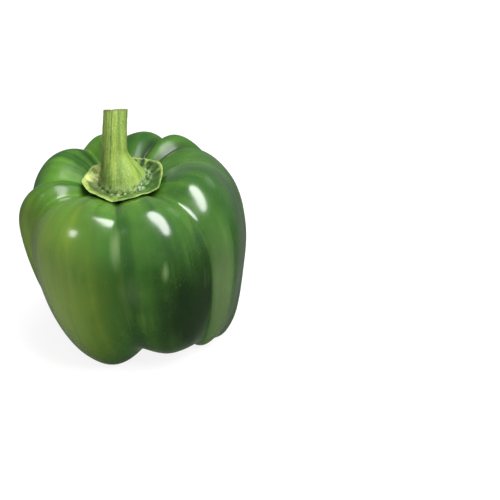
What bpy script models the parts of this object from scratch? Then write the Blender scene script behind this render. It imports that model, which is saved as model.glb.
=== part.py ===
"""A green bell pepper standing on the lobes of its blossom end: the fruit, its calyx and the cut stem.

The frame is +Z up with its origin on the table, in the middle of the fruit's outline, and -Y is the front.
Sizes here are in millimetres and angles in degrees, turned anticlockwise from +X as seen from above.
The meshes are made in metres.
"""

import bmesh
import bpy
import numpy as np
from mathutils import Vector

MM = 0.001

# Sizes of the fruit
WIDTH = 85.0  # across X, before the lobes swell out of it
DEPTH = 83.0  # across Y
HEIGHT = 74.0  # from the blossom end to the shoulders, before the lobes
LEAN_X = 0.09  # how steeply the top rises towards +X
LEAN_Y = 0.07  # how steeply it rises towards +Y
FOOT_PRESS = 0.8  # how much of the lowest lobe tips is flat against the table

# Sizes of the calyx, a green collar of fused sepals seated in the top of the fruit
CALYX_RADIUS = 15.6
CALYX_SEPALS = 6
CALYX_CORNER_ANGLE = 16.0  # where the first sepal's corner points
CALYX_CORNER_REACH = 1.6  # how far the corners stand out past the sides between them
CALYX_RIM_LIFT = 1.3  # how far the rim curls up off the fruit
CALYX_THICKNESS = 1.0
CALYX_COLLAR_HEIGHT = 4.2  # from the fruit to the face that the stem grows from
CALYX_COLLAR_MARGIN = 0.8  # how far that face reaches past the stem's foot

# Sizes of the stem
STEM_HEIGHT = 25.5
STEM_RADIUS = 4.35
STEM_OFFSET = -2.1  # its middle's place along X, from the calyx's middle
STEM_LEAN = 7.0  # how far it bends back, to its top
STEM_FLARE = 3.3  # how far its foot spreads
STEM_FLARE_SIDE = 0.86  # how much more of that is on its +X side
STEM_FLARE_START = 3.8  # the foot narrows from this height
STEM_FLARE_END = 13.3  # to this one
STEM_TOP_FLARE = 0.2
STEM_RIBS = 5
STEM_RIB_HEIGHT = 0.2

JOINT_GAP = 0.3  # between pieces that touch
CALYX_ROOM = 0.12  # more of a gap under the calyx, whose rim crosses the lobes' slopes

# Mesh fineness
COLUMNS_PER_LOBE = 8
ROWS_PER_RING = 5
STEM_COLUMNS = 30
STEM_ROWS = 12

# The fruit is skinned over rings, which run from its hollow blossom end up the side and down into the
# hollow under the calyx. A ring's radius is a share of the half width, its height a share of HEIGHT, and
# x and y place its middle, since the fruit leans. foot, side and top say how much of each lobe's and
# groove's values act there, lean how much of LEAN_X and LEAN_Y, and round how softly its grooves are cut.
RING_KEYS = ("radius", "height", "x", "y", "foot", "side", "top", "lean", "round")
RINGS = (
    (0.00, 0.150, 8.0, 2.0, 0.00, 0.00, 0.00, 0.0, 0.50),
    (0.15, 0.150, 8.0, 2.0, 0.30, 0.00, 0.00, 0.0, 0.30),
    (0.33, 0.010, 8.0, 2.0, 1.00, 0.00, 0.00, 0.0, 0.20),
    (0.60, -0.045, 7.2, 2.8, 1.00, 0.00, 0.00, 0.0, 0.25),
    (0.85, 0.120, 4.0, 2.5, 0.45, 0.55, 0.00, 0.0, 0.60),
    (0.98, 0.360, 1.2, 1.4, 0.10, 0.90, 0.00, 0.0, 0.90),
    (1.04, 0.640, 0.0, 0.2, 0.00, 1.00, 0.00, 0.1, 0.60),
    (1.00, 0.880, -1.0, -0.4, 0.00, 0.45, 0.55, 0.4, 0.30),
    (0.74, 1.045, -2.5, 0.0, 0.00, 0.00, 1.00, 0.8, 0.12),
    (0.45, 1.010, -3.5, 0.6, 0.00, 0.00, 0.80, 1.0, 0.05),
    (0.25, 0.925, -3.9, 1.0, 0.00, 0.00, 0.25, 1.0, 0.10),
    (0.00, 0.900, -3.9, 1.0, 0.00, 0.00, 0.00, 1.0, 0.50),
)

# The grooves between the lobes: where each runs and how deep it is, at the foot, the side and the top
GROOVE_KEYS = ("foot", "side", "top", "foot_depth", "side_depth", "top_depth")
GROOVES = (
    (198, 193, 206, 2.0, 3.0, 5.0),
    (262, 268, 266, 9.5, 2.4, 4.5),
    (315, 320, 315, 7.0, 3.0, 5.0),
    (348, 350, 370, 0.3, 0.8, 1.8),
    (375, 385, 402, 0.6, 1.6, 4.0),
    (415, 420, 426, 8.0, 2.5, 5.0),
    (455, 455, 455, 1.0, 1.0, 3.0),
    (493, 490, 486, 6.0, 2.5, 4.5),
    (527, 520, 543, 2.0, 1.5, 3.0),
)

# The lobe after each groove: how far it swells at the foot and the side, and how far its shoulder and
# its tip stand above the rings
LOBE_KEYS = ("foot_swell", "side_swell", "shoulder_rise", "tip_rise")
LOBES = (
    (5.0, 1.0, -1.0, 0.0),
    (-4.5, -0.5, -0.5, 4.0),
    (-5.0, 0.0, 0.5, -0.2),
    (-5.0, 0.0, -1.5, 1.0),
    (-1.0, -1.0, 0.0, 1.5),
    (0.0, 0.0, -1.0, 0.0),
    (0.0, -0.5, -0.3, 0.5),
    (0.0, 0.0, 0.8, 0.0),
    (1.5, 1.2, -0.5, 2.0),
)

LAST_RING = len(RINGS) - 1
PARTS = ("foot", "side", "top")


def column(rows, keys, key):
    return np.array([row[keys.index(key)] for row in rows], dtype=float)


def blend_rings(values, level, mirror=1.0):
    """Cubic B-spline along the rings, which mirror turns over beyond the two ends"""
    ends = (values[1:2] * mirror, values, values[-2:-1] * mirror)
    padded = np.concatenate(ends)
    first = np.minimum(np.floor(level).astype(int), LAST_RING - 1)
    f = level - first
    weights = ((1 - f) ** 3, 3 * f ** 3 - 6 * f ** 2 + 4, -3 * f ** 3 + 3 * f ** 2 + 3 * f + 1, f ** 3)
    return sum(weight * padded[first + k] for k, weight in enumerate(weights)) / 6


def ring_values(key):
    return column(RINGS, RING_KEYS, key)


def ring_slopes():
    """The outward direction of the rings' own outline at each ring, as radial and upward shares"""
    outline = np.stack([ring_values("radius") * WIDTH / 2, ring_values("height") * HEIGHT], axis=1)
    padded = np.vstack([outline[1] * (-1, 1), outline, outline[-2] * (-1, 1)])
    along = padded[2:] - padded[:-2]
    along /= np.linalg.norm(along, axis=1, keepdims=True)
    return along[:, 1], -along[:, 0]


def groove(number):
    """A groove's values by name; the number counts on round the fruit past the last groove"""
    return dict(zip(GROOVE_KEYS, GROOVES[number % len(GROOVES)]))


def groove_angle(number, level):
    """Where a groove runs at a level; at the two poles it ends as it arrives"""
    shares = {part: ring_values(part)[1:-1] for part in PARTS}
    angle = sum(groove(number)[part] * shares[part] for part in PARTS) / sum(shares.values())
    angle = np.concatenate([angle[:1], angle, angle[-1:]])
    return blend_rings(angle, level) + 360 * (number // len(GROOVES))


def fruit_points(lobe, across, level):
    """Points of the skin: across runs from 0 at the lobe's own groove to 1 at the next, level from 0 at
    the blossom end to LAST_RING under the calyx"""
    start, end = groove_angle(lobe, level), groove_angle(lobe + 1, level)
    angle = np.radians(start + (end - start) * across)
    soft = blend_rings(ring_values("round"), level)
    arch = 1 - (2 * across - 1) ** 2
    crest = (np.sqrt(arch ** 2 + soft ** 2) - soft) / (np.sqrt(1 + soft ** 2) - soft)
    ease = across ** 2 * (3 - 2 * across)
    own = dict(zip(LOBE_KEYS, LOBES[lobe]))
    foot, side, top = (ring_values(part) for part in PARTS)
    swell = foot * own["foot_swell"] + side * own["side_swell"]
    rise = foot * own["tip_rise"] + top * own["shoulder_rise"]
    out, up = ring_slopes()

    def cut(direction, mirror):
        at_start, at_end = (
            blend_rings(sum(groove(number)[part + "_depth"] * ring_values(part) for part in PARTS) * direction,
                        level, mirror)
            for number in (lobe, lobe + 1))
        return (at_start + (at_end - at_start) * ease) * (1 - crest)

    reach = blend_rings(ring_values("radius") * WIDTH / 2, level, -1)
    reach = reach + blend_rings(swell, level, -1) * crest - cut(out, -1)
    height = blend_rings(ring_values("height") * HEIGHT, level) + blend_rings(rise, level) * crest - cut(up, 1)
    along_x = reach * np.cos(angle)
    along_y = reach * np.sin(angle) * DEPTH / WIDTH
    lean = blend_rings(ring_values("lean"), level) * (LEAN_X * along_x + LEAN_Y * along_y)
    x = blend_rings(ring_values("x"), level) + along_x
    y = blend_rings(ring_values("y"), level) + along_y
    return np.stack([x, y, height + lean], axis=-1)


def fruit_rows(levels):
    """Rings of points round the whole fruit, one for each level, with a column on every groove"""
    across = np.arange(COLUMNS_PER_LOBE) / COLUMNS_PER_LOBE
    grids = [fruit_points(lobe, across[None, :], levels[:, None]) for lobe in range(len(LOBES))]
    return np.concatenate(grids, axis=1)


def fruit_placement():
    """The fruit's rows where it stands: the middle of its outline over the origin, its tips on the table"""
    rows = fruit_rows(np.linspace(0, LAST_RING, LAST_RING * ROWS_PER_RING + 1))
    low, high = rows.min(axis=(0, 1)), rows.max(axis=(0, 1))
    shift = np.array([-(low[0] + high[0]) / 2, -(low[1] + high[1]) / 2, -low[2] - FOOT_PRESS])
    rows = rows + shift
    rows[..., 2] = np.maximum(rows[..., 2], 0)
    return rows


def skin(name, rows, material):
    """A closed body over rings of points, with its first and last rings drawn in to a point"""
    mesh = bmesh.new()
    rings = [[mesh.verts.new(point * MM) for point in row] for row in rows]
    count = len(rings[0])
    for lower, upper in zip(rings, rings[1:]):
        for k in range(count):
            mesh.faces.new((lower[k], lower[(k + 1) % count], upper[(k + 1) % count], upper[k]))
    for ring, turned in ((rings[0], True), (rings[-1], False)):
        middle = mesh.verts.new(sum((vert.co for vert in ring), Vector()) / count)
        for k in range(count):
            corners = (ring[k], ring[(k + 1) % count], middle)
            mesh.faces.new(corners[::-1] if turned else corners)
    bmesh.ops.triangulate(mesh, faces=mesh.faces)
    bmesh.ops.recalc_face_normals(mesh, faces=mesh.faces)
    data = bpy.data.meshes.new(name)
    mesh.to_mesh(data)
    mesh.free()
    data.shade_smooth()
    data.materials.append(material)
    piece = bpy.data.objects.new(name, data)
    bpy.context.scene.collection.objects.link(piece)
    return piece


def make_material(name, colour, roughness):
    material = bpy.data.materials.new(name)
    material.use_nodes = True
    shader = material.node_tree.nodes["Principled BSDF"]
    shader.inputs["Base Color"].default_value = (*colour, 1)
    shader.inputs["Roughness"].default_value = roughness
    shader.inputs["Metallic"].default_value = 0.0
    return material


def make_fruit(rows):
    return skin("fruit", rows[1:-1], make_material("fruit skin", (0.10, 0.22, 0.05), 0.22))


def top_plane(rows):
    """The middle of the hollow in the fruit's top"""
    return rows[-1].mean(axis=0)


def tilted(points, middle, height):
    """Points lifted or lowered onto the plane that lies a height above the hollow and leans as it does"""
    flat = points.copy()
    away = points - middle
    flat[..., 2] = middle[2] + height + LEAN_X * away[..., 0] + LEAN_Y * away[..., 1]
    return flat


def calyx_outline(row, middle):
    """The rim's edge above a row of the fruit: a circle drawn out to a blunt corner at each sepal"""
    away = row[:, :2] - middle[:2]
    angle = np.arctan2(away[:, 1], away[:, 0])
    part = 2 * np.pi / CALYX_SEPALS
    from_side = (angle - np.radians(CALYX_CORNER_ANGLE)) % part - part / 2
    corner = (1 / np.cos(from_side) - 1) / (1 / np.cos(part / 2) - 1)
    reach = CALYX_RADIUS - CALYX_CORNER_REACH / 2 + CALYX_CORNER_REACH * corner
    edge = row.copy()
    edge[:, 0] = middle[0] + reach * np.cos(angle)
    edge[:, 1] = middle[1] + reach * np.sin(angle)
    return edge


def make_calyx(rows):
    middle = top_plane(rows)
    inner = rows[-2::-1]
    spread = np.linalg.norm(inner[..., :2] - middle[:2], axis=-1).mean(axis=1)
    seat_count = int(np.argmax(spread > CALYX_RADIUS - CALYX_CORNER_REACH))
    seat = inner[:seat_count]
    curl = CALYX_RIM_LIFT * (spread[:seat_count, None] / CALYX_RADIUS) ** 3
    under = seat.copy()
    under[..., 2] += JOINT_GAP + CALYX_ROOM + curl
    rim = calyx_outline(inner[seat_count], middle)
    rim[:, 2] += JOINT_GAP + CALYX_ROOM + CALYX_RIM_LIFT
    collar_radius = STEM_OFFSET + STEM_RADIUS + STEM_FLARE * (1 + STEM_FLARE_SIDE) + CALYX_COLLAR_MARGIN
    top = under[::-1] + (0, 0, CALYX_THICKNESS)
    on_collar = np.linalg.norm(top[..., :2] - middle[:2], axis=-1) < collar_radius
    top = np.where(on_collar[..., None], tilted(top, middle, CALYX_COLLAR_HEIGHT), top)
    layers = np.concatenate([under, rim[None], rim[None] + (0, 0, CALYX_THICKNESS), top])
    return skin("calyx", layers, make_material("calyx green", (0.28, 0.38, 0.08), 0.55))


def make_stem(rows):
    middle = top_plane(rows)
    angle = 2 * np.pi * np.arange(STEM_COLUMNS) / STEM_COLUMNS
    along = np.linspace(0, 1, STEM_ROWS)[:, None]
    height = along * STEM_HEIGHT
    narrowing = np.clip((height - STEM_FLARE_START) / (STEM_FLARE_END - STEM_FLARE_START), 0, 1)
    flare = STEM_FLARE * (1 - narrowing ** 2 * (3 - 2 * narrowing)) * (1 + STEM_FLARE_SIDE * np.cos(angle))
    ribs = STEM_RIB_HEIGHT * np.cos(STEM_RIBS * angle)
    radius = STEM_RADIUS + flare + ribs + STEM_TOP_FLARE * along ** 6
    bend = 2 * STEM_LEAN * along / STEM_HEIGHT  # the slope of its middle line
    ring_x = radius * np.cos(angle)
    ring_y = radius * np.sin(angle)
    level = 1 / np.hypot(1, bend)
    x = middle[0] + STEM_OFFSET + ring_x
    y = middle[1] + STEM_LEAN * along ** 2 + ring_y * level
    foot = 1 - along
    lift = foot * (LEAN_X * (ring_x + STEM_OFFSET) + LEAN_Y * ring_y) - ring_y * bend * level
    z = middle[2] + CALYX_COLLAR_HEIGHT + JOINT_GAP + height + lift
    return skin("stem", np.stack([x, y, z], axis=-1), make_material("stem green", (0.35, 0.45, 0.10), 0.5))


for leftover in list(bpy.data.objects):
    bpy.data.objects.remove(leftover)
skin_rows = fruit_placement()
make_fruit(skin_rows)
make_calyx(skin_rows)
make_stem(skin_rows)
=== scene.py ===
import math

import bpy
import numpy as np
from mathutils import Matrix, Vector


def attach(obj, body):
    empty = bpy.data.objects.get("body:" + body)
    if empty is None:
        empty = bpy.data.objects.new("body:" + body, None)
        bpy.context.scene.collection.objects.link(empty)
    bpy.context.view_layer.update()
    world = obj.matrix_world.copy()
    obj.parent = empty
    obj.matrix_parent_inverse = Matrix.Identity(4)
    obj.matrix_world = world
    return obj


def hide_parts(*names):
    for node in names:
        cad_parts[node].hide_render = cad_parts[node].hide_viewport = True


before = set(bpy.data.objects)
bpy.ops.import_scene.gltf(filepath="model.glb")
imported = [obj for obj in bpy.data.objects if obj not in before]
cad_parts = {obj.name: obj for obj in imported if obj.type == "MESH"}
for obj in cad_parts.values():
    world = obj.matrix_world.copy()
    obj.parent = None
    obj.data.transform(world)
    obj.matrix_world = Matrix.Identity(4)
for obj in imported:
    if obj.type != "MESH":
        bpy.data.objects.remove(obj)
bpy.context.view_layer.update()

mm = 0.001


nodesPerRow = 24  # how the editor lays a tree out


class Wire:
    # one output of a node; a sum written with it adds its own Math nodes
    def __init__(self, graph, socket):
        self.graph, self.socket = graph, socket

    def other(self, name):
        return Wire(self.graph, self.socket.node.outputs[name])

    def math(self, operation, *others):
        return self.graph.math(operation, self, *others)

    def __add__(self, value):
        return self.math("ADD", value)

    def __radd__(self, value):
        return self.graph.math("ADD", value, self)

    def __sub__(self, value):
        return self.math("SUBTRACT", value)

    def __rsub__(self, value):
        return self.graph.math("SUBTRACT", value, self)

    def __mul__(self, value):
        return self.math("MULTIPLY", value)

    def __rmul__(self, value):
        return self.graph.math("MULTIPLY", value, self)

    def __truediv__(self, value):
        return self.math("DIVIDE", value)

    def __rtruediv__(self, value):
        return self.graph.math("DIVIDE", value, self)

    def __pow__(self, value):
        return self.math("POWER", value)

    def atLeast(self, low):
        return self.math("MAXIMUM", low)

    def atMost(self, high):
        return self.math("MINIMUM", high)


class Graph:
    def __init__(self, tree):
        self.tree = tree

    # any node: its type, then its settings, then its sockets' values or links; choices is how many
    # vectors a switch picks from
    def node(self, kind, settings=None, sockets=None, out=0):
        made = self.tree.nodes.new(kind)
        row, column = divmod(len(self.tree.nodes), nodesPerRow)
        made.location = (180 * column, -220 * row)
        for name, value in (settings or {}).items():
            if name == "choices":
                while len(made.index_switch_items) < value:
                    made.index_switch_items.new()
            else:
                setattr(made, name, value)
        for key, value in (sockets or {}).items():
            if isinstance(value, Wire):
                self.tree.links.new(value.socket, made.inputs[key])
            else:
                made.inputs[key].default_value = value
        return Wire(self, made.outputs[out] if len(made.outputs) else None)

    def math(self, operation, *values):
        return self.node("ShaderNodeMath", {"operation": operation}, dict(enumerate(values)))

    def vector(self, x, y, z):
        return self.node("ShaderNodeCombineXYZ", None, {0: x, 1: y, 2: z})

    def parts(self, vector):
        split = self.node("ShaderNodeSeparateXYZ", None, {0: vector})
        return split, split.other("Y"), split.other("Z")

    def vectorMath(self, operation, *values, out=0):
        return self.node("ShaderNodeVectorMath", {"operation": operation}, dict(enumerate(values)), out)

    def dot(self, a, b):
        return self.vectorMath("DOT_PRODUCT", a, b, out="Value")

    def scaled(self, vector, size):
        return self.node("ShaderNodeVectorMath", {"operation": "SCALE"}, {0: vector, "Scale": size})

    # how far a point is from a place, with each axis stretched
    def distance(self, point, place, stretch):
        away = self.vectorMath("MULTIPLY", self.vectorMath("SUBTRACT", point, place), stretch)
        return self.vectorMath("LENGTH", away, out="Value")

    # 0 up to low and 1 from high on, with an eased run between
    def ease(self, value, low, high):
        return self.node("ShaderNodeMapRange", {"interpolation_type": "SMOOTHSTEP"},
                         {"Value": value, "From Min": low, "From Max": high})

    # 0 up to low and 1 from high on, with a straight run between
    def run(self, value, low, high):
        return self.node("ShaderNodeMapRange", None, {"Value": value, "From Min": low, "From Max": high})

    def noise(self, vector, scale, detail=2.0, roughness=0.5, distortion=0.0):
        return self.node("ShaderNodeTexNoise", None,
                         {"Vector": vector, "Scale": scale, "Detail": detail, "Roughness": roughness,
                          "Distortion": distortion})

    # noise on a vector with each axis stretched
    def grained(self, vector, stretch, *settings):
        return self.noise(self.vectorMath("MULTIPLY", vector, stretch), *settings)

    def colours(self, mask, first, second):
        return self.node("ShaderNodeMix", {"data_type": "RGBA"},
                         {"Factor": mask, 6: opaque(first), 7: opaque(second)}, 2)

    def bump(self, height, strength, distance):
        return self.node("ShaderNodeBump", None,
                         {"Strength": strength, "Distance": distance, "Height": height}, "Normal")

    def attribute(self, name, out="Fac"):
        return self.node("ShaderNodeAttribute", {"attribute_name": name}, None, out)


def opaque(colour):
    return (*colour, 1) if isinstance(colour, tuple) else colour


# the kind of input that each kind of value needs
socketTypes = {float: "NodeSocketFloat", Vector: "NodeSocketVector",
               bpy.types.Material: "NodeSocketMaterial", bpy.types.Object: "NodeSocketObject"}


# a geometry tree whose inputs are named after the sizes that it takes
def geometryGraph(name, sizes):
    tree = bpy.data.node_groups.new(name, "GeometryNodeTree")
    for label, value in sizes.items():
        tree.interface.new_socket(label, in_out="INPUT", socket_type=socketTypes[type(value)])
    tree.interface.new_socket("Geometry", in_out="OUTPUT", socket_type="NodeSocketGeometry")
    graph = Graph(tree)
    entry = graph.node("NodeGroupInput")
    return graph, {label: entry.other(label) for label in sizes}


# a flat sheet of rows and columns, whose places across and up run from 0 to 1
def sheet(graph, columns, rows):
    mesh = graph.node("GeometryNodeMeshGrid", None,
                      {"Size X": 1.0, "Size Y": 1.0, "Vertices X": columns, "Vertices Y": rows})
    across, up, _ = graph.parts(graph.node("GeometryNodeInputPosition"))
    return mesh, across + 0.5, up + 0.5


# keeps a value with each point, for a material or a later step to read
def keep(graph, geometry, name, value, kind="FLOAT"):
    return graph.node("GeometryNodeStoreNamedAttribute", {"data_type": kind},
                      {"Geometry": geometry, "Name": name, "Value": value})


def place(graph, geometry, position):
    return graph.node("GeometryNodeSetPosition", None, {"Geometry": geometry, "Position": position})


# joins the points that meet, along the sheet's two long edges and at its poles
def close(graph, geometry):
    return graph.node("GeometryNodeMergeByDistance", None, {"Geometry": geometry, "Distance": 0.001 * mm})


def finishTree(graph, geometry, material):
    smooth = graph.node("GeometryNodeSetShadeSmooth", None, {"Geometry": geometry})
    real = graph.node("GeometryNodeRealizeInstances", None, {"Geometry": smooth})
    painted = graph.node("GeometryNodeSetMaterial", None, {"Geometry": real, "Material": material})
    graph.node("NodeGroupOutput", None, {"Geometry": painted})


# runs a geometry tree once and keeps its result as a plain mesh
def grow(name, graph, sizes):
    piece = bpy.data.objects.new(name, bpy.data.meshes.new(name))
    bpy.context.scene.collection.objects.link(piece)
    shape = piece.modifiers.new("shape", "NODES")
    shape.node_group = graph.tree
    for item in graph.tree.interface.items_tree:
        if item.in_out == "INPUT":
            shape[item.identifier] = sizes[item.name]
    depsgraph = bpy.context.evaluated_depsgraph_get()
    mesh = bpy.data.meshes.new_from_object(piece.evaluated_get(depsgraph), preserve_all_data_layers=True,
                                           depsgraph=depsgraph)
    piece.modifiers.remove(shape)
    piece.data = mesh
    print(name, "has", len(mesh.polygons), "faces")
    return piece


def newMaterial(name):
    material = bpy.data.materials.new(name)
    material.use_nodes = True
    material.node_tree.nodes.clear()
    return material, Graph(material.node_tree)


def finishMaterial(graph, sockets):
    shader = graph.node("ShaderNodeBsdfPrincipled", None, sockets)
    graph.node("ShaderNodeOutputMaterial", None, {"Surface": shader})


def addPiece(piece, node):
    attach(piece, "root")
    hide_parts(node)


# The fruit is a skin over rings, from the blossom end up its side and into the hollow under the calyx. Sizes
# are in mm. A ring's radius is a share of half the width, its height is a share of the height, and x and y
# are its middle. foot, side and top say how much of each lobe's and groove's values act there, lean how
# much of the top's slope, and round how soft the grooves are.
fruitShape = {
    "width": 85.0,
    "depth": 83.0,
    "height": 74.0,
    "leanX": 0.09,  # how steeply the top rises to the right
    "leanY": 0.07,  # and to the back
    "footPress": 0.8,  # how much of the lowest tips is pressed flat
    "columnsPerLobe": 28,
    "rows": 300,
    "dentSize": 22.0,
    "dentHeight": 1.1,
    "rippleSize": 7.0,
    "rippleHeight": 0.16,
    "seed": 3.0,
    "rings": {
        "radius": (0, 0.15, 0.33, 0.60, 0.85, 0.98, 1.04, 1.00, 0.74, 0.45, 0.25, 0),
        "height": (0.15, 0.15, 0.01, -0.045, 0.12, 0.36, 0.64, 0.88, 1.045, 1.01, 0.925, 0.90),
        "x": (8, 8, 8, 7.2, 4.0, 1.2, 0.0, -1.0, -2.5, -3.5, -3.9, -3.9),
        "y": (2, 2, 2, 2.8, 2.5, 1.4, 0.2, -0.4, 0, 0.6, 1, 1),
        "foot": (0, 0.3, 1, 1, 0.45, 0.1, 0, 0, 0, 0, 0, 0),
        "side": (0, 0, 0, 0, 0.55, 0.9, 1, 0.45, 0, 0, 0, 0),
        "top": (0, 0, 0, 0, 0, 0, 0, 0.55, 1, 0.8, 0.25, 0),
        "lean": (0, 0, 0, 0, 0, 0, 0.1, 0.4, 0.8, 1, 1, 1),
        "round": (0.5, 0.3, 0.2, 0.25, 0.6, 0.9, 0.6, 0.3, 0.12, 0.05, 0.1, 0.5),
    },
    # where each groove runs at the foot, the side and the top, in degrees, and how deep it is there
    "grooves": (
        ((198, 193, 206), (2.0, 3.0, 5.0)),
        ((262, 268, 266), (9.5, 1.9, 3.6)),
        ((315, 320, 315), (7.0, 3.0, 5.0)),
        ((348, 350, 370), (0.3, 0.8, 1.8)),
        ((375, 385, 402), (0.6, 1.6, 4.0)),
        ((415, 420, 426), (8.0, 2.5, 5.0)),
        ((455, 455, 455), (1.0, 1.0, 3.0)),
        ((493, 490, 486), (6.0, 2.5, 4.5)),
        ((527, 520, 543), (2.0, 1.5, 3.0)),
    ),
    # the lobe after each groove: its swell at the foot and the side, and its tip's and its shoulder's rise
    "lobes": (
        ((5.0, 1.0), (0.0, -1.0)),
        ((-4.5, -0.5), (4.0, -0.5)),
        ((-5.0, 0.0), (-0.2, 0.5)),
        ((-5.0, 0.0), (1.0, -1.5)),
        ((-1.0, -1.0), (1.5, 0.0)),
        ((0.0, 0.0), (0.0, -1.0)),
        ((0.0, -0.5), (0.5, -0.3)),
        ((0.0, 0.0), (0.0, 0.8)),
        ((1.5, 1.2), (2.0, -0.5)),
    ),
}


# how much each ring acts at a level, from one before the first ring to one after the last
def ringWeights(level, count):
    weights = []
    for ring in range(-1, count + 1):
        away = (level - ring).math("ABSOLUTE")
        weights.append(((2 - away).atLeast(0) ** 3 - 4 * (1 - away).atLeast(0) ** 3) / 6)
    return weights


# three columns of numbers, run smoothly through the rings as one vector
def alongRings(graph, weights, columns, mirror=1):
    rows = list(zip(*columns))
    before, after = ([mirror * value for value in row] for row in (rows[1], rows[-2]))
    total = None
    for weight, row in zip(weights, [before, *rows, after]):
        share = graph.scaled(tuple(float(value) for value in row), weight)
        total = share if total is None else graph.vectorMath("ADD", total, share)
    return total


# the outward direction of the rings' outline at each ring
def ringSlopes(shape):
    radius = np.array(shape["rings"]["radius"]) * shape["width"] / 2
    height = np.array(shape["rings"]["height"]) * shape["height"]
    outline = np.stack([radius, height], axis=1)
    padded = np.vstack([outline[1] * (-1, 1), outline, outline[-2] * (-1, 1)])
    along = padded[2:] - padded[:-2]
    along /= np.linalg.norm(along, axis=1, keepdims=True)
    return along[:, 1], -along[:, 0]


# picks the vector of one lobe or groove by its number; the half keeps it clear of rounding down
def choose(graph, number, vectors):
    picks = {place + 1: tuple(float(value) for value in vector) for place, vector in enumerate(vectors)}
    return graph.node("GeometryNodeIndexSwitch", {"data_type": "VECTOR", "choices": len(vectors)},
                      {0: number + 0.5, **picks})


# a place on a tube of radius 1, for streaks that run lengthwise with no seam
def ringDirection(graph, angle, along):
    return graph.vector(angle.math("COSINE"), angle.math("SINE"), along)


def fruitGraph(shape, sizes):
    graph, size = geometryGraph("pepperFruit", sizes)
    rings = {name: np.array(values, dtype=float) for name, values in shape["rings"].items()}
    count = len(rings["radius"])
    lobeCount = len(shape["lobes"])
    mesh, around, up = sheet(graph, lobeCount * shape["columnsPerLobe"] + 1, shape["rows"])
    level = up * (count - 1)
    number = (around * lobeCount).math("FLOOR").atMost(lobeCount - 1)
    across = around * lobeCount - number
    weights = ringWeights(level, count)

    # the grooves' directions at this level, from shares of foot, side and top that add up to 1
    shares = np.stack([rings["foot"], rings["side"], rings["top"]])[:, 1:-1]
    shares = shares / shares.sum(axis=0)
    shares = np.concatenate([shares[:, :1], shares, shares[:, -1:]], axis=1)
    turns = alongRings(graph, weights, shares)
    places = [groove[0] for groove in shape["grooves"]]
    places.append(tuple(angle + 360 for angle in places[0]))
    start = graph.dot(choose(graph, number, places[:-1]), turns)
    end = graph.dot(choose(graph, number, places[1:]), turns)
    angle = (start + (end - start) * across) * (math.pi / 180)

    # 0 in a groove and 1 on a lobe's crest
    soft, x, y = graph.parts(alongRings(graph, weights, (rings["round"], rings["x"] * mm, rings["y"] * mm)))
    arch = 1 - (2 * across - 1) ** 2
    crest = ((arch * arch + soft * soft) ** 0.5 - soft) / ((1 + soft * soft) ** 0.5 - soft)
    ease = across * across * (3 - 2 * across)

    out, lift = ringSlopes(shape)
    zones = ("foot", "side", "top")
    cutOut = alongRings(graph, weights, [rings[zone] * out * mm for zone in zones], -1)
    cutUp = alongRings(graph, weights, [rings[zone] * lift * mm for zone in zones])
    depths = [groove[1] for groove in shape["grooves"]]
    first = choose(graph, number, depths)
    second = choose(graph, number, depths[1:] + depths[:1])

    def cut(direction):
        return (graph.dot(first, direction) * (1 - ease) + graph.dot(second, direction) * ease) * (1 - crest)

    reachShare = alongRings(graph, weights, (rings["radius"], rings["foot"] * mm, rings["side"] * mm), -1)
    riseShare = alongRings(graph, weights, (rings["height"], rings["foot"] * mm, rings["top"] * mm))
    swell = choose(graph, number, [(0, *lobe[0]) for lobe in shape["lobes"]])
    rise = choose(graph, number, [(0, *lobe[1]) for lobe in shape["lobes"]])
    radius, _, _ = graph.parts(reachShare)
    height, _, _ = graph.parts(riseShare)
    reach = radius * size["Width"] / 2 + graph.dot(swell, reachShare) * crest - cut(cutOut)
    along = angle.math("COSINE") * reach
    aside = angle.math("SINE") * reach * size["Depth"] / size["Width"]
    lean, _, _ = graph.parts(alongRings(graph, weights, (rings["lean"], 0 * out, 0 * out)))
    tilt = lean * (size["Lean X"] * along + size["Lean Y"] * aside)
    z = height * size["Height"] + graph.dot(rise, riseShare) * crest - cut(cutUp) + tilt

    mesh = keep(graph, mesh, "crest", crest)
    mesh = keep(graph, mesh, "level", up)
    mesh = keep(graph, mesh, "grain", ringDirection(graph, angle, up), "FLOAT_VECTOR")
    mesh = place(graph, mesh, graph.vector(x + along, y + aside, z))
    mesh = close(graph, mesh)  # the poles' points differ a little in height, so fine gaps stay there
    mesh = dent(graph, mesh, size)
    mesh = stand(graph, mesh, size["Foot Press"])
    finishTree(graph, mesh, size["Material"])
    return graph


# broad dents and finer upright ripples, pushed along the skin's own direction
def dent(graph, mesh, size):
    point = graph.node("GeometryNodeInputPosition")
    x, y, z = graph.parts(point)
    dents = graph.noise(graph.vector(x, y, z * 0.6 + size["Seed"]), 1 / size["Dent Size"])
    ripples = graph.noise(graph.vector(x, y, z * 0.12 + size["Seed"]), 1 / size["Ripple Size"])
    push = (dents - 0.5) * size["Dent Height"] + (ripples - 0.5) * size["Ripple Height"]
    offset = graph.scaled(graph.node("GeometryNodeInputNormal"), push)
    return graph.node("GeometryNodeSetPosition", None, {"Geometry": mesh, "Offset": offset})


# stands the fruit with the middle of its outline over the origin and its lowest tips pressed flat
def stand(graph, mesh, press):
    box = graph.node("GeometryNodeBoundBox", None, {"Geometry": mesh})
    lowX, lowY, lowZ = graph.parts(box.other("Min"))
    highX, highY, _ = graph.parts(box.other("Max"))
    x, y, z = graph.parts(graph.node("GeometryNodeInputPosition"))
    standing = graph.vector(x - (lowX + highX) / 2, y - (lowY + highY) / 2, (z - lowZ - press).atLeast(0))
    return place(graph, mesh, standing)


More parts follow.
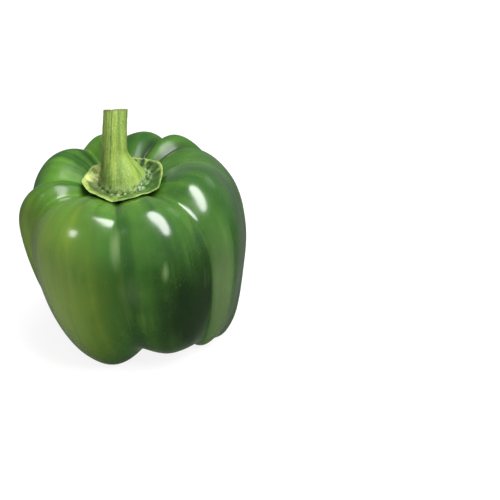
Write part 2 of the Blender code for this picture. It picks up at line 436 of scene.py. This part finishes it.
skinLook = {
    "deep": (0.016, 0.062, 0.008),
    "mid": (0.035, 0.105, 0.012),
    "yellow": (0.185, 0.285, 0.024),
    "shade": (0.005, 0.015, 0.004),
    "pale": (0.200, 0.310, 0.070),
    "shoulder": (0.075, 0.180, 0.018),
    # the pale tint of painted light: bounce light at the foot, glints and a reflection on the front
    "paintedLight": (0.160, 0.235, 0.095),
    "patches": (  # colour, middle, full within, gone beyond, how much height counts, how strong
        ("yellow", (-0.027, -0.028, 0.037), 0.004, 0.030, 0.58, 0.76),
        # a yellow tint that is partly a painted sheen along the left edge
        ("yellow", (-0.042, -0.009, 0.043), 0.003, 0.019, 0.50, 0.62),
        # painted shade and a painted dark reflection low on the front right lobe
        ("shade", (0.024, -0.034, 0.030), 0.006, 0.026, 0.55, 0.85),
    ),
    "paintedGlints": (  # painted glints where a crease and small dents on the front catch the light: where, how wide, how tall, how strong
        ((-0.0036, -0.0380, 0.0640), 0.0026, 0.0130, 0.50),
        ((0.0021, -0.0414, 0.0455), 0.0065, 0.0100, 0.16),
        ((0.0144, -0.0396, 0.0545), 0.0018, 0.0055, 0.60),
    ),
    "flankFacing": (0.839, -0.545, 0.0),  # the way the flank right of a groove faces, where a painted pale reflection lies
    "strength": {
        "shoulder": 0.25,
        "shoulderLeft": 0.55,  # more of it on the left
        "paleStreaks": 0.5,
        "darkStreaks": 0.8,
        "foot": 0.40,
        "behind": 0.85,
        "valleyGlints": 0.06,
        "flank": 0.45,
        "freckles": 0.12,
    },
    "roughness": 0.24,
    "specular": 0.20,
    "coatRoughness": 0.17,
    "dullRoughness": 0.14,  # how much rougher the back and the left are
    "dullCoat": 0.9,  # and how much of the gloss they lack
    "bump": 0.09,
}


def skinMaterial(look):
    material, graph = newMaterial("pepperSkin")
    strength = look["strength"]
    point = graph.node("ShaderNodeTexCoord").other("Object")
    x, y, _ = graph.parts(point)
    crest = graph.attribute("crest")
    level = graph.attribute("level")
    grain = graph.attribute("grain", "Vector")
    clouds = graph.noise(point, 50.0, 3.0, 0.55)
    bands = graph.grained(grain, (5.0, 5.0, 1.6), 1.1, 2.0, 0.5)
    streaks = graph.grained(grain, (14.0, 14.0, 5.0), 1.1, 2.0, 0.5, 0.8)
    colour = graph.colours(graph.ease(clouds * 0.5 + bands * 0.5, 0.36, 0.66), look["deep"], look["mid"])

    # lighter shoulders, most on the left: partly the skin's paler tint, partly painted light on the tops
    left = 1 - graph.ease(x + (bands - 0.5) * 0.03, -0.025, 0.015)
    left = left * graph.ease(x, -0.048, -0.026)
    top = graph.ease(level, 0.62, 0.80) * graph.ease(clouds + bands, 0.80, 1.20)
    top = top * (left * strength["shoulderLeft"] + strength["shoulder"])
    colour = graph.colours(top, colour, look["shoulder"])

    # broad patches with uneven edges: a yellow tint, partly a painted sheen at the far left, and painted
    # shade low on the front right lobe
    uneven = (clouds - 0.5) * 0.012 + (bands - 0.5) * 0.016
    for name, place, near, far, upright, amount in look["patches"]:
        away = graph.distance(point, place, (1.0, 1.0, upright)) + uneven
        colour = graph.colours((1 - graph.ease(away, near, far)) * amount, colour, look[name])

    # lengthwise streaks, here and there
    patchy = graph.ease(clouds, 0.40, 0.65)
    streaky = (streaks - 0.52).atLeast(0) * patchy
    colour = graph.colours(streaky * strength["paleStreaks"], colour, look["pale"])
    streaky = (0.48 - streaks).atLeast(0) * patchy
    colour = graph.colours(streaky * strength["darkStreaks"], colour, look["shade"])

    # painted bounce light from the floor at the foot, painted shade between the back lobes, and a faint
    # painted reflection down each groove
    foot = 1 - graph.ease(level, 0.06, 0.34)
    colour = graph.colours(foot * strength["foot"], colour, look["paintedLight"])
    behind = (1 - graph.ease(crest, 0.1, 0.8)) * graph.ease(level, 0.66, 0.80)
    behind = behind * graph.ease(y, 0.004, 0.016) * graph.ease(x, -0.012, 0.002)
    colour = graph.colours(behind * strength["behind"], colour, look["shade"])
    # painted reflection along each groove, a little below halfway up
    valleyGlints = (1 - graph.ease(crest, 0.0, 0.035)) * graph.ease(level, 0.42, 0.52)
    colour = graph.colours(valleyGlints * strength["valleyGlints"], colour, look["pale"])

    # painted glints: a crease and small dents catching the light
    for place, width, height, amount in look["paintedGlints"]:
        away = graph.distance(point, place, (1.0, 0.4, width / height)) + (streaks - 0.5) * (width * 0.8)
        glint = 1 - graph.ease(away, width * 0.15, width)
        colour = graph.colours(glint * amount, colour, look["paintedLight"])
    # a painted pale reflection on the flank right of the front right groove
    facing = graph.dot(grain, look["flankFacing"]) + (bands - 0.5) * 0.012
    flank = graph.ease(facing, 0.989, 0.999)
    flank = flank * graph.ease(level, 0.12, 0.35) * (1 - graph.ease(level, 0.50, 0.66))
    colour = graph.colours(flank * strength["flank"], colour, look["paintedLight"])
    freckles = graph.ease(graph.noise(point, 1300.0, 1.0), 0.66, 0.76)
    colour = graph.colours(freckles * strength["freckles"], colour, look["pale"])

    # the back and the left keep more of their bloom
    dull = graph.ease(y + (x * -0.8).atLeast(x * -0.25), 0.002, 0.016)
    peel = graph.noise(point, 900.0, 2.0) * 0.4 + graph.noise(point, 240.0, 2.0)
    finishMaterial(graph, {
        "Base Color": colour,
        "Roughness": look["roughness"] + (clouds - 0.5) * 0.10 + dull * look["dullRoughness"],
        "Specular IOR Level": look["specular"],
        "Coat Weight": 1 - dull * look["dullCoat"],
        "Coat Roughness": look["coatRoughness"],
        "Normal": graph.bump(peel, look["bump"], 0.0006),
    })
    return material


def makeFruit(shape, look):
    sizes = {
        "Width": shape["width"] * mm,
        "Depth": shape["depth"] * mm,
        "Height": shape["height"] * mm,
        "Lean X": shape["leanX"],
        "Lean Y": shape["leanY"],
        "Foot Press": shape["footPress"] * mm,
        "Dent Size": shape["dentSize"] * mm,
        "Dent Height": shape["dentHeight"] * mm,
        "Ripple Size": shape["rippleSize"] * mm,
        "Ripple Height": shape["rippleHeight"] * mm,
        "Seed": shape["seed"],
        "Material": skinMaterial(look),
    }
    piece = grow("pepperFruit", fruitGraph(shape, sizes), sizes)
    addPiece(piece, "fruit")
    return piece


# A thin dish of fused sepals on the fruit's hollow. Sizes are in mm. Each corner has its direction in
# degrees, its reach and how far it curls up off the fruit.
calyxShape = {
    "gap": 0.25,
    "thickness": 0.8,
    "edgeDip": 0.1,  # how far the rim sinks between the corners
    "edgeBulge": 1.2,  # how far it stands out there past a straight edge, for corners a radian apart
    "bridgeSoftness": 0.4,  # where it leaves a lobe to bridge a groove
    "collarHeight": 4.3,  # how far the middle rises round the stem's foot
    "collarRadius": 9.3,
    "collarOffset": 0.8,  # along X, from the dish's middle
    "wrinkleHeight": 0.8,
    "crackHeight": 0.55,
    "raggedness": 1.2,
    "columnsPerSepal": 30,
    "rows": 121,
    "rimRows": 0.09,  # the share of each side's rows that rounds the rim
    "seed": 5.0,
    "corners": (
        (18, 15.2, 2.0),
        (77, 13.2, 1.0),
        (131, 13.6, 1.6),
        (199, 16.0, 1.6),
        (230, 17.2, 0.8),
        (260, 17.8, 0.1),
        (287, 20.6, 0.1),
        (322, 18.6, 1.0),
    ),
}


def calyxGraph(shape, sizes):
    graph, size = geometryGraph("pepperCalyx", sizes)
    sepals = len(shape["corners"])
    mesh, around, up = sheet(graph, sepals * shape["columnsPerSepal"] + 1, shape["rows"])
    number = (around * sepals).math("FLOOR").atMost(sepals - 1)
    across = around * sepals - number
    corners = [(math.radians(angle), reach * mm, lift * mm) for angle, reach, lift in shape["corners"]]
    corners.append((corners[0][0] + 2 * math.pi, *corners[0][1:]))
    startAngle, startReach, startLift = graph.parts(choose(graph, number, corners[:-1]))
    endAngle, endReach, endLift = graph.parts(choose(graph, number, corners[1:]))
    angle = startAngle + (endAngle - startAngle) * across

    def sine(value):
        return value.math("SINE")

    # the edge runs straight from corner to corner, with a ragged line on top
    straight = startReach * endReach * sine(endAngle - startAngle)
    straight = straight / (startReach * sine(angle - startAngle) + endReach * sine(endAngle - angle))
    circle = ringDirection(graph, angle, size["Seed"])
    ragged = graph.noise(circle, 2.6, 4.0, 0.6) - 0.5
    corner = (across * 2 - 1) ** 2
    span = endAngle - startAngle
    edge = straight + ragged * size["Raggedness"] + (1 - corner) * span * span * size["Edge Bulge"]
    ease = across * across * (3 - 2 * across)
    lift = startLift * (1 - ease) + endLift * ease - (1 - corner) * size["Edge Dip"]
    lift = lift + ragged * size["Raggedness"] * 1.4

    # turn runs from -1 at the underside's middle, through 0 at the rim, to 1 at the top's middle
    turn = up * 2 - 1
    away = turn.math("ABSOLUTE")
    share = 1 - away ** 1.25  # the rows crowd towards the rim
    rounding = sine((turn / shape["rimRows"]).atLeast(-1).atMost(1) * (math.pi / 2))
    topSide = graph.ease(turn, 0.0, 0.12)
    middleX, middleY, middleZ = graph.parts(size["Middle"])
    alongX = edge * share * angle.math("COSINE")
    alongY = edge * share * sine(angle)
    x, y = middleX + alongX, middleY + alongY
    skin = graph.node("GeometryNodeObjectInfo", {"transform_space": "RELATIVE"},
                      {"Object": size["Fruit"]}, "Geometry")

    # how high the fruit's skin is at a place, found by a ray from well above it
    def seatAt(x, y):
        above = graph.vector(x, y, middleZ + 50 * mm)
        hit = graph.node("GeometryNodeRaycast", None,
                         {"Target Geometry": skin, "Source Position": above,
                          "Ray Direction": (0.0, 0.0, -1.0), "Ray Length": 200 * mm}, "Hit Position")
        _, _, height = graph.parts(hit)
        return height

    def cornerSeat(angle, reach):
        return seatAt(middleX + reach * angle.math("COSINE"), middleY + reach * sine(angle))

    # it lies on the lobes and bridges the grooves between them, on lines from corner to corner
    bridge = cornerSeat(startAngle, startReach) * (1 - across) + cornerSeat(endAngle, endReach) * across
    bridge = middleZ + (bridge - middleZ) * share ** 2
    seat = seatAt(x, y)
    seat = seat.math("SMOOTH_MAX", bridge, size["Bridge Softness"])
    curl = lift * share ** 3.5
    base = seat + size["Gap"] + size["Thickness"] / 2 + curl

    # the collar under the stem's foot, with torn and cracked tissue round it
    fromFoot = graph.vector(alongX - size["Collar Offset"], alongY * 1.05, 0.0)
    reach = graph.vectorMath("LENGTH", fromFoot, out="Value")
    radius = size["Collar Radius"]
    spot = graph.vector(x, y, size["Seed"])
    lumps = graph.noise(spot, 650.0, 4.0, 0.65) - 0.5
    torn = graph.noise(spot, 260.0, 3.0, 0.6) - 0.5
    onCollar = 1 - graph.ease(reach + torn * 2.5 * mm, radius * 0.85, radius * 1.15)
    collar = middleZ + size["Collar Height"] + alongX * size["Slope X"] + alongY * size["Slope Y"]
    raised = base + (collar - base).atLeast(0) * onCollar
    ring = graph.vector(angle.math("COSINE") * 0.02, sine(angle) * 0.02, reach * 0.35)
    folds = graph.noise(ring, 260.0, 3.0, 0.6) - 0.5
    body = graph.ease(share, 0.0, 0.2) * (1 - graph.ease(share, 0.86, 0.98))
    crust = graph.ease(reach, radius * 0.55, radius * 0.85)
    crust = crust * (1 - graph.ease(reach + torn * 2 * mm, radius, radius * 1.3))
    relief = folds * size["Wrinkle Height"] * body * 2 + lumps * size["Crack Height"] * (body + crust * 2)
    top = raised + relief
    z = base + rounding * size["Thickness"] / 2 + (top - base) * topSide

    mesh = keep(graph, mesh, "rim", graph.ease(share, 0.92, 0.985))
    mesh = keep(graph, mesh, "crust", crust * topSide)
    mesh = keep(graph, mesh, "relief", lumps + folds)
    mesh = keep(graph, mesh, "grain", ringDirection(graph, angle, share), "FLOAT_VECTOR")
    mesh = place(graph, mesh, graph.vector(x, y, z))
    mesh = close(graph, mesh)
    finishTree(graph, mesh, size["Material"])
    return graph


calyxLook = {
    "rim": (0.250, 0.330, 0.085),
    "bowl": (0.040, 0.115, 0.020),
    "yellow": (0.250, 0.330, 0.060),
    "paintedSunlight": (0.600, 0.640, 0.270),
    "dark": (0.012, 0.030, 0.008),
    "torn": (0.215, 0.300, 0.125),
    "strength": {"paintedSunlight": 0.55, "trough": 0.75, "veins": 0.5},
    "roughness": 0.50,
    "specular": 0.35,
    "bump": 0.5,
}


def calyxMaterial(look):
    material, graph = newMaterial("pepperCalyx")
    strength = look["strength"]
    point = graph.node("ShaderNodeTexCoord").other("Object")
    rim = graph.attribute("rim")
    crust = graph.attribute("crust")
    relief = graph.attribute("relief")
    grain = graph.attribute("grain", "Vector")
    side, back, share = graph.parts(grain)
    blotches = graph.noise(point, 240.0, 3.0, 0.6)
    veins = graph.grained(grain, (9.0, 9.0, 2.2), 1.4, 3.0, 0.6)
    # yellow where the blotches lie, with painted light on the dish's left and painted shade on its right
    blotchesAndSideLight = blotches * 3.0 - side * 0.40 + back * 0.15
    colour = graph.colours(graph.ease(blotchesAndSideLight, 0.95, 2.15), look["bowl"], look["yellow"])

    # painted sunlight on the upturned rim at the left, and painted shade in a trough inside the rim at the
    # front left
    paintedSunlight = graph.ease(back * 0.4 - side, 0.55, 0.95) * graph.ease(blotches, 0.42, 0.58)
    colour = graph.colours(paintedSunlight * strength["paintedSunlight"], colour, look["paintedSunlight"])
    inside = 1 - graph.ease(share + blotches * 0.2, 0.85, 1.0)
    trough = graph.ease(-1 * side - back * 0.7, 0.80, 1.15) * inside
    colour = graph.colours(trough * strength["trough"], colour, look["dark"])

    # painted shade in the hollows of the relief, most round the foot of the stem and at the right, and torn
    # flesh on the crust
    crustAndShadedSide = (crust + graph.ease(side * 0.8 + back * 0.6, 0.1, 0.7)).atMost(1.0) * 0.75 + 0.15
    hollow = 1 - graph.ease(relief, -0.10, 0.10)
    colour = graph.colours(hollow * crustAndShadedSide, colour, look["dark"])
    torn = graph.ease(graph.noise(point, 600.0, 4.0, 0.7), 0.49, 0.60) * (crust * 0.90 + 0.10)
    colour = graph.colours(torn, colour, look["torn"])
    colour = graph.colours(graph.ease(veins, 0.50, 0.66) * crustAndShadedSide * strength["veins"], colour, look["dark"])
    edge = rim * (0.45 + graph.ease(blotches, 0.35, 0.60) * 0.55)
    colour = graph.colours(edge, colour, look["rim"])
    height = graph.noise(point, 1100.0, 4.0, 0.65) + veins * 0.6
    finishMaterial(graph, {
        "Base Color": colour,
        "Roughness": look["roughness"] + (blotches - 0.5) * 0.2,
        "Specular IOR Level": look["specular"],
        "Normal": graph.bump(height, look["bump"], 0.0004),
    })
    return material


def makeCalyx(shape, look, fruitPiece, middle):
    sizes = {
        "Fruit": fruitPiece,
        "Middle": middle,
        "Gap": shape["gap"] * mm,
        "Thickness": shape["thickness"] * mm,
        "Edge Dip": shape["edgeDip"] * mm,
        "Edge Bulge": shape["edgeBulge"] * mm,
        "Bridge Softness": shape["bridgeSoftness"] * mm,
        "Collar Height": shape["collarHeight"] * mm,
        "Collar Radius": shape["collarRadius"] * mm,
        "Collar Offset": shape["collarOffset"] * mm,
        "Slope X": fruitShape["leanX"],
        "Slope Y": fruitShape["leanY"],
        "Wrinkle Height": shape["wrinkleHeight"] * mm,
        "Crack Height": shape["crackHeight"] * mm,
        "Raggedness": shape["raggedness"] * mm,
        "Seed": shape["seed"],
        "Material": calyxMaterial(look),
    }
    piece = grow("pepperCalyx", calyxGraph(shape, sizes), sizes)
    addPiece(piece, "calyx")
    return piece


# A ribbed stalk that leans back and ends in a chipped, dished cut. Sizes are in mm.
stemShape = {
    "height": 25.5,
    "radius": 4.35,
    "taper": 0.9,  # how much wider it is at the foot, before the flare
    "offset": -2.8,  # its foot's place along X, from the dish's middle
    "swing": 0.9,  # how far its top swings back along X
    "lean": 7.0,  # how far it bends back, to its top
    "flare": 3.3,  # how far its foot spreads
    "flareSide": 0.86,  # how much more of that is on its right
    "flareStart": 0.3,
    "flareEnd": 11.5,
    "topFlare": 0.2,
    "ribs": 5,
    "ribPhase": 0.6,
    "ribHeight": 0.18,
    "striaHeight": 0.14,
    "gnarlHeight": 1.5,  # lumps round its foot
    "footDrop": 1.4,  # how far the foot runs down into the calyx
    "cutDish": 0.5,  # how far the cut end sinks in its middle
    "seatGap": 0.2,  # how far over the calyx's collar its height starts
    "footRows": 0.05,  # the share of its rows on the hidden foot
    "sideRows": 0.83,  # and up the side; the rest close the cut
    "columns": 180,
    "rows": 170,
    "seed": 11.0,
}


def stemGraph(shape, sizes):
    graph, size = geometryGraph("pepperStem", sizes)
    mesh, around, up = sheet(graph, shape["columns"] + 1, shape["rows"])
    sideStart = shape["footRows"]
    sideEnd = sideStart + shape["sideRows"]
    angle = around * (2 * math.pi)
    cosine, sine = angle.math("COSINE"), angle.math("SINE")
    along = graph.run(up, sideStart, sideEnd)
    onCut = graph.run(up, sideEnd, 1.0)
    share = graph.run(up, 0.0, sideStart).atMost(1 - onCut)
    height = along * size["Height"]
    narrowing = graph.ease(height, size["Flare Start"], size["Flare End"])
    flare = size["Flare"] * (1 - narrowing) * (1 + cosine * size["Flare Side"])
    ribTurn = angle * shape["ribs"] + shape["ribPhase"]
    rib = 1 - (ribTurn.math("COSINE") + 1).atLeast(0) ** 0.5 * 1.4

    def tubeNoise(width, length, *settings):
        place = graph.vector(cosine * width, sine * width, length + size["Seed"])
        return graph.noise(place, *settings)

    streaks = tubeNoise(9.0, along * 1.8, 1.3, 3.0, 0.65)
    fine = tubeNoise(28.0, along * 7.0, 1.2, 2.0, 0.6)
    knots = tubeNoise(3.0, along * 5.0, 1.5, 3.0, 0.6)
    relief = (streaks - 0.5) * 1.4 + (fine - 0.5) * 1.2
    radius = size["Radius"] + size["Taper"] * (1 - along) + flare
    radius = radius + rib * size["Rib Height"] + relief * size["Stria Height"] * 2
    gnarl = tubeNoise(2.4, height * 320, 1.7, 4.0, 0.65) - 0.5
    torn = 1 - graph.ease(height + gnarl * 3 * mm, 0.4 * mm, 3.2 * mm)  # the crusty ring at its foot
    radius = radius + (gnarl * 2.2 + 0.35) * size["Gnarl Height"] * torn
    radius = radius + (knots - 0.5) * size["Stria Height"] * 3 + size["Top Flare"] * along ** 8
    radius = radius * share ** 0.8

    # the axis bends back as a parabola, and each ring tips with it
    bend = 2 * size["Lean"] * along / size["Height"]
    level = 1 / (1 + bend * bend) ** 0.5
    ringX, ringY = cosine * radius, sine * radius
    middleX, middleY, middleZ = graph.parts(size["Middle"])
    foot = 1 - along
    axis = size["Offset"] + size["Swing"] * along * along
    tilt = foot * ((ringX + axis) * size["Slope X"] + ringY * size["Slope Y"])
    tilt = tilt - ringY * bend * level

    # the cut end sinks a little, with a gritty face and a chipped edge
    grit = graph.noise(graph.vector(ringX, ringY, size["Seed"]), 900.0, 3.0, 0.6) - 0.5
    chipped = graph.noise(graph.vector(cosine * 1.6, sine * 1.6, size["Seed"]), 1.6, 3.0, 0.6) - 0.5
    sink = graph.ease(onCut, 0.0, 0.5) * size["Cut Dish"] - grit * graph.ease(onCut, 0.0, 0.12) * 0.5 * mm
    sink = sink + (chipped * 0.9 - cosine * 0.16) * mm * along ** 24 * (1 - onCut)
    x = middleX + axis + ringX
    y = middleY + size["Lean"] * along * along + ringY * level - sink * bend * level
    z = middleZ + size["Seat"] + height + tilt - foot ** 6 * size["Foot Drop"] - sink * level

    mesh = keep(graph, mesh, "cut", onCut)
    mesh = keep(graph, mesh, "relief", relief + rib * 0.6)
    mesh = keep(graph, mesh, "flare", 1 - narrowing)
    mesh = keep(graph, mesh, "torn", torn)
    mesh = keep(graph, mesh, "grain", ringDirection(graph, angle, along), "FLOAT_VECTOR")
    mesh = place(graph, mesh, graph.vector(x, y, z))
    mesh = close(graph, mesh)
    finishTree(graph, mesh, size["Material"])
    return graph


stemLook = {
    "green": (0.125, 0.215, 0.032),
    "light": (0.240, 0.340, 0.052),
    "dark": (0.035, 0.070, 0.014),
    "fibre": (0.400, 0.460, 0.190),
    "wood": (0.420, 0.380, 0.220),
    "brown": (0.090, 0.075, 0.030),
    "crust": (0.220, 0.300, 0.120),
    "pith": (0.560, 0.600, 0.330),
    "cracks": (  # long ones down the front: place from left to right, width, depth
        (-0.26, 0.065, 0.85),
        (0.30, 0.04, 0.25),
        (-0.66, 0.05, 0.35),
    ),
    "strength": {
        "low": 0.14,
        "fibres": 0.35,
        "fissures": 0.55,
        "flecks": 0.35,
        "foot": 0.55,  # on its shaded left side
        "specks": 0.30,
        "crust": 0.8,
        "brown": 0.75,
        "grit": 0.5,
    },
    "roughness": 0.48,
    "specular": 0.35,
    "bump": 0.6,
}


def stemMaterial(look):
    material, graph = newMaterial("pepperStem")
    strength = look["strength"]
    point = graph.node("ShaderNodeTexCoord").other("Object")
    relief = graph.attribute("relief")
    cut = graph.attribute("cut")
    flare = graph.attribute("flare")
    torn = graph.attribute("torn")
    grain = graph.attribute("grain", "Vector")
    side, back, along = graph.parts(grain)
    broad = graph.grained(grain, (3.0, 3.0, 1.2), 1.2, 2.0, 0.5)
    lines = graph.grained(grain, (26.0, 26.0, 5.0), 1.3, 3.0, 0.65)
    dashes = graph.grained(grain, (30.0, 30.0, 34.0), 1.0, 2.0, 0.6)
    specks = graph.grained(point, (1.0, 1.0, 0.5), 1500.0, 2.0, 0.6)
    flecks = graph.grained(point, (1.0, 1.0, 0.35), 2600.0, 2.0, 0.6)
    # random tone, with painted shade on the flare's left and the stem's left a little lighter as painted
    # light
    toneAndSideLight = broad * 0.8 + 0.16 - side * 0.06 - flare * (0.20 - side * 0.22)
    colour = graph.colours(graph.ease(toneAndSideLight, 0.38, 0.66), look["green"], look["light"])

    # pale fibres and dark fissures between them, with fine dark flecks and pale specks
    # painted shade in the low parts of the ribbed relief
    low = (1 - graph.ease(relief, -0.45, 0.15)) * (1 - flare * 0.7)
    colour = graph.colours(low * strength["low"], colour, look["dark"])
    fibres = graph.ease(1 - lines, 0.52, 0.66)
    colour = graph.colours(fibres * strength["fibres"], colour, look["fibre"])
    fissures = graph.ease(lines, 0.50, 0.62) * graph.ease(dashes, 0.42, 0.58) * (1 - flare * 0.75)
    colour = graph.colours(fissures * strength["fissures"], colour, look["dark"])
    colour = graph.colours(graph.ease(flecks, 0.54, 0.62) * strength["flecks"], colour, look["dark"])
    # painted shade on the left of the stem's foot
    foot = graph.ease(-1 * side - back * 0.3, 0.3, 1.0) * (1 - along) ** 2
    colour = graph.colours(foot * strength["foot"], colour, look["dark"])
    colour = graph.colours(graph.ease(specks, 0.58, 0.68) * strength["specks"], colour, look["fibre"])

    broken = (0.35 + graph.ease(dashes, 0.36, 0.52) * 0.65) * (1 - flare * 0.6)
    for place, width, depth in look["cracks"]:
        off = side - place + (broad - 0.5) * 0.30 + (lines - 0.5) * 0.10
        crack = 1 - graph.ease(off.math("ABSOLUTE"), width * 0.3, width)
        crack = crack * graph.ease(-1 * back, 0.0, 0.3) * broken * depth
        colour = graph.colours(crack, colour, look["dark"])

    # a crusty foot, and a brown rim at the cut
    rough = graph.noise(point, 700.0, 4.0, 0.7)
    crust = torn * graph.ease(rough, 0.40, 0.52)
    colour = graph.colours(crust * strength["crust"], colour, look["crust"])
    pits = torn * (1 - graph.ease(rough, 0.40, 0.47))
    colour = graph.colours(pits * strength["crust"], colour, look["dark"])
    brown = graph.ease(along + (rough - 0.5) * 0.03, 0.962, 0.985) * graph.ease(lines, 0.38, 0.56)
    colour = graph.colours(brown * strength["brown"], colour, look["brown"])

    # the cut end, woody round its pith
    end = graph.colours(graph.ease(cut, 0.45, 0.75), look["wood"], look["pith"])
    grit = graph.ease(graph.noise(point, 1300.0, 3.0, 0.6), 0.5, 0.7)
    end = graph.colours(grit * strength["grit"], end, look["dark"])
    colour = graph.colours(graph.ease(cut, 0.02, 0.06), colour, end)
    finishMaterial(graph, {
        "Base Color": colour,
        "Roughness": look["roughness"] + (lines - 0.5) * 0.25,
        "Specular IOR Level": look["specular"],
        "Normal": graph.bump(lines + specks * 0.5, look["bump"], 0.0003),
    })
    return material


def makeStem(shape, look, middle):
    sizes = {
        "Middle": middle,
        "Seat": (calyxShape["collarHeight"] + shape["seatGap"]) * mm,
        "Slope X": fruitShape["leanX"],
        "Slope Y": fruitShape["leanY"],
        "Height": shape["height"] * mm,
        "Radius": shape["radius"] * mm,
        "Taper": shape["taper"] * mm,
        "Offset": shape["offset"] * mm,
        "Swing": shape["swing"] * mm,
        "Lean": shape["lean"] * mm,
        "Flare": shape["flare"] * mm,
        "Flare Side": shape["flareSide"],
        "Flare Start": shape["flareStart"] * mm,
        "Flare End": shape["flareEnd"] * mm,
        "Top Flare": shape["topFlare"] * mm,
        "Rib Height": shape["ribHeight"] * mm,
        "Stria Height": shape["striaHeight"] * mm,
        "Gnarl Height": shape["gnarlHeight"] * mm,
        "Foot Drop": shape["footDrop"] * mm,
        "Cut Dish": shape["cutDish"] * mm,
        "Seed": shape["seed"],
        "Material": stemMaterial(look),
    }
    piece = grow("pepperStem", stemGraph(shape, sizes), sizes)
    addPiece(piece, "stem")
    return piece


# the middle of the hollow in the fruit's top, where its last ring closes
def hollowMiddle(piece):
    levels = [entry.value for entry in piece.data.attributes["level"].data]
    return Vector(piece.data.vertices[int(np.argmax(levels))].co)


fruit = makeFruit(fruitShape, skinLook)
middle = hollowMiddle(fruit)
print("hollow middle", [round(value, 5) for value in middle])
makeCalyx(calyxShape, calyxLook, fruit, middle)
makeStem(stemShape, stemLook, middle)

cameraSetup = {
    "down": 32.0,  # degrees below level
    "distance": 0.6,
    "frameWidth": 0.1965,  # what the frame takes in at that distance
    "sensor": 36.0,
    "aim": (0.0454, 0.0006, 0.0390),
}
floorLook = {
    "colour": (0.16, 0.16, 0.16),
    "nearGlow": 0.86,  # lifts the shadow
    "farGlow": 0.96,  # takes over where the lights fall off
    "near": 0.20,
    "far": 1.60,
    "side": 16.0,
}


def addCamera(setup):
    data = bpy.data.cameras.new("camera")
    data.sensor_width = setup["sensor"]
    data.lens = setup["sensor"] * setup["distance"] / setup["frameWidth"]
    camera = bpy.data.objects.new("camera", data)
    bpy.context.scene.collection.objects.link(camera)
    down = math.radians(setup["down"])
    ahead = Vector((0, math.cos(down), -math.sin(down)))
    camera.location = Vector(setup["aim"]) - ahead * setup["distance"]
    camera.rotation_euler = (math.pi / 2 - down, 0, 0)
    bpy.context.scene.camera = camera


studioLights = {
    "overhead": {"direction": (0.305, -0.22, 0.90), "size": (1.20, 0.44), "power": 18.5, "roll": 78},
    "fill": {"direction": (0.20, -0.30, 0.90), "size": (1.20, 1.20), "power": 5.0, "mirrored": False},
    "left": {"direction": (-0.70, -0.36, 0.62), "size": (0.18, 0.18), "power": 1.0},
    "back": {"direction": (0.55, 0.55, 0.55), "size": (0.42, 0.30), "power": 0.20},
}
lightDistance = 0.9
lightAim = (0, 0, 0.05)


# an oval light that faces the fruit, turned by roll degrees; one that isn't mirrored leaves no highlight
def addLight(name, direction, size, power, roll=0, mirrored=True):
    data = bpy.data.lights.new(name, "AREA")
    data.shape = "ELLIPSE"
    data.size, data.size_y = size
    data.energy = power
    light = bpy.data.objects.new(name, data)
    bpy.context.scene.collection.objects.link(light)
    aim = Vector(lightAim)
    light.location = aim + Vector(direction).normalized() * lightDistance
    aimed = (aim - light.location).to_track_quat("-Z", "Y").to_matrix()
    light.rotation_euler = (aimed @ Matrix.Rotation(math.radians(roll), 3, "Z")).to_euler()
    light.visible_glossy = mirrored


def addFloor(look):
    half = look["side"] / 2
    mesh = bpy.data.meshes.new("floor")
    corners = [(-half, -half, 0), (half, -half, 0), (half, half, 0), (-half, half, 0)]
    mesh.from_pydata(corners, [], [(0, 1, 2, 3)])
    floor = bpy.data.objects.new("floor", mesh)
    bpy.context.scene.collection.objects.link(floor)
    floor.visible_glossy = False  # the skin mirrors the studio's own grading instead
    material, graph = newMaterial("studioFloor")
    away = graph.vectorMath("LENGTH", graph.node("ShaderNodeTexCoord").other("Object"), out="Value")
    more = look["farGlow"] - look["nearGlow"]
    glow = look["nearGlow"] + graph.ease(away, look["near"], look["far"]) * more
    finishMaterial(graph, {
        "Base Color": opaque(look["colour"]),
        "Roughness": 0.9,
        "Specular IOR Level": 0.1,
        "Emission Color": graph.colours(glow, (0.0, 0.0, 0.0), (1.0, 1.0, 1.0)),
        "Emission Strength": 1.0,
    })
    mesh.materials.append(material)


studioLook = {
    "horizon": 0.28,
    "zenith": 0.26,
    "lowLeft": 0.30,  # the low ones are below the horizon, where only reflections see them
    "lowRight": 0.06,
    "lowBack": 0.14,
    "seen": 1.0,  # what the camera sees past the floor
}


# an even grey studio, brighter low on the left and darker low on the right and at the back
def addWorld(look):
    world = bpy.data.worlds.new("studio")
    bpy.context.scene.world = world
    world.use_nodes = True
    world.node_tree.nodes.clear()
    graph = Graph(world.node_tree)
    side, back, up = graph.parts(graph.node("ShaderNodeTexCoord").other("Generated"))
    above = look["horizon"] + graph.ease(up, 0.0, 0.6) * (look["zenith"] - look["horizon"])
    below = look["lowLeft"] + graph.ease(side, -0.80, -0.20) * (look["lowRight"] - look["lowLeft"])
    below = below + graph.ease(back, 0.25, 0.80) * (look["lowBack"] - below)
    strength = below + (above - below) * graph.ease(up, -0.35, 0.05)
    seen = graph.node("ShaderNodeLightPath").other("Is Camera Ray")
    strength = strength + (look["seen"] - strength) * seen
    surround = graph.node("ShaderNodeBackground", None, {"Color": (1, 1, 1, 1), "Strength": strength})
    graph.node("ShaderNodeOutputWorld", None, {"Surface": surround})


addCamera(cameraSetup)
addFloor(floorLook)
addWorld(studioLook)
for name, light in studioLights.items():
    addLight(name, **light)
bpy.context.scene.view_settings.view_transform = "Standard"
print("studio is lit")
